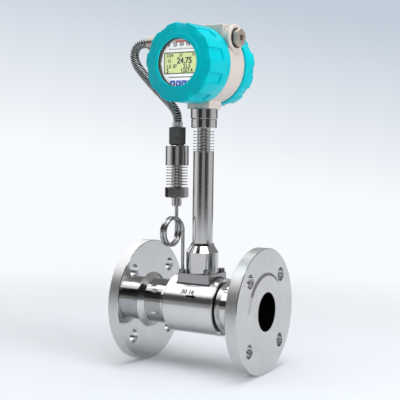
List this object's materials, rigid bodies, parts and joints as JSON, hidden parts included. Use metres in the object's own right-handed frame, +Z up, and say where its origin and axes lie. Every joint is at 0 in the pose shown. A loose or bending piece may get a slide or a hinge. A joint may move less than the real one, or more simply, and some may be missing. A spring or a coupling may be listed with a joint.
{
  "type": "vortex flow meter",
  "caption": "Flanged vortex flow meter with a cooled stem, a round display head with screw covers, and a side pressure transmitter on a pigtail siphon with a flexible conduit.",
  "frame": {"origin": "centre of the inlet flange's bolt circle, on its bolting face behind the raised face", "axes": "+X along the pipe in the flow's direction, +Z up the stem, -Y towards the dial's side"},
  "size_m": [0.2209, 0.165, 0.4536],
  "materials": {
    "polished_steel": "polished",
    "turned_steel": "fine turned",
    "weld_steel": "rippled weld",
    "screw_steel": "satin",
    "conduit_steel": "dark corrugated strip",
    "plated_metal": "bright plated",
    "cover_paint": "gloss",
    "housing_paint": "satin",
    "dial_white": "satin",
    "lcd_green": "display",
    "key_blue": "gloss",
    "black_plastic": "satin",
    "terminal_plastic": "matte",
    "board_green": "lacquered",
    "gasket_sheet": "light sheet",
    "seal_rubber": "matte",
    "cable_sheath": "matte",
    "window": "clear",
    "brass": "satin"
  },
  "bodies": {
    "meter": {"inlet_flange": "polished_steel", "outlet_flange": "polished_steel", "flange_welds": "weld_steel", "inlet_pipe": "polished_steel", "outlet_pipe": "polished_steel", "meter_body": "polished_steel", "body_welds": "weld_steel", "shedder_bar": "turned_steel", "saddle_gasket": "gasket_sheet", "sensor_flange": "polished_steel", "flange_screws": "screw_steel", "vortex_probe": "turned_steel", "probe_seal": "seal_rubber", "stem_base": "polished_steel", "stem_tube": "polished_steel", "stem_fins": "turned_steel", "lower_collar": "polished_steel", "upper_collar": "polished_steel", "signal_cable": "cable_sheath", "head_housing": "housing_paint", "dial_plate": "dial_white", "dial_screws": "screw_steel", "lcd_panel": "lcd_green", "key_switches": "black_plastic", "display_board": "board_green", "main_board": "board_green", "board_standoffs": "brass", "terminal_block": "terminal_plastic", "terminal_screws": "screw_steel", "earth_screw": "brass", "blanking_plug": "plated_metal", "plug_washer": "seal_rubber", "connector_nut": "plated_metal", "conduit_connector": "plated_metal", "flexible_conduit": "conduit_steel", "tap_boss": "turned_steel", "siphon_tube": "turned_steel", "transmitter_nipple": "turned_steel", "transmitter_nut": "polished_steel", "transmitter_fins": "turned_steel", "transmitter_housing": "polished_steel", "gland_body": "black_plastic", "gland_cap": "black_plastic", "conduit_ferrule": "plated_metal"},
    "front_seal_ring": {"front_seal": "seal_rubber"},
    "front_cover_group": {"front_cover": "cover_paint", "window_glass": "window", "window_gasket": "seal_rubber", "window_ring": "turned_steel"},
    "rear_seal_ring": {"rear_seal": "seal_rubber"},
    "rear_cover_group": {"rear_cover": "cover_paint"},
    "left_key": {"key_left": "key_blue"},
    "down_key": {"key_down": "key_blue"},
    "up_key": {"key_up": "key_blue"},
    "enter_key": {"key_enter": "key_blue"}
  },
  "joints": [
    {"name": "front_cover_travel", "type": "slide", "parent": "meter", "child": "front_seal_ring", "axis": [-0.0819, -0.9966, 0], "range_m": [0, 0.0119]},
    {"name": "front_cover_screw", "type": "hinge", "parent": "front_seal_ring", "child": "front_cover_group", "pos_m": [0.0955, 0, 0.31906], "axis": [-0.0819, -0.9966, 0], "range_deg": [0, 2124]},
    {"name": "rear_cover_travel", "type": "slide", "parent": "meter", "child": "rear_seal_ring", "axis": [0.0819, 0.9966, 0], "range_m": [0, 0.0119]},
    {"name": "rear_cover_screw", "type": "hinge", "parent": "rear_seal_ring", "child": "rear_cover_group", "pos_m": [0.0955, 0, 0.31906], "axis": [0.0819, 0.9966, 0], "range_deg": [0, 2124]},
    {"name": "left_key_press", "type": "slide", "parent": "meter", "child": "left_key", "axis": [0.0819, 0.9966, 0], "range_m": [0, 0.0005], "stiffness_N_per_m": 800, "springref_m": -0.0005},
    {"name": "down_key_press", "type": "slide", "parent": "meter", "child": "down_key", "axis": [0.0819, 0.9966, 0], "range_m": [0, 0.0005], "stiffness_N_per_m": 800, "springref_m": -0.0005},
    {"name": "up_key_press", "type": "slide", "parent": "meter", "child": "up_key", "axis": [0.0819, 0.9966, 0], "range_m": [0, 0.0005], "stiffness_N_per_m": 800, "springref_m": -0.0005},
    {"name": "enter_key_press", "type": "slide", "parent": "meter", "child": "enter_key", "axis": [0.0819, 0.9966, 0], "range_m": [0, 0.0005], "stiffness_N_per_m": 800, "springref_m": -0.0005}
  ],
  "couplings": [
    {"joint": "front_cover_travel", "follows": "front_cover_screw", "m_per_rad": 0.00031831},
    {"joint": "rear_cover_travel", "follows": "rear_cover_screw", "m_per_rad": 0.00031831}
  ]
}
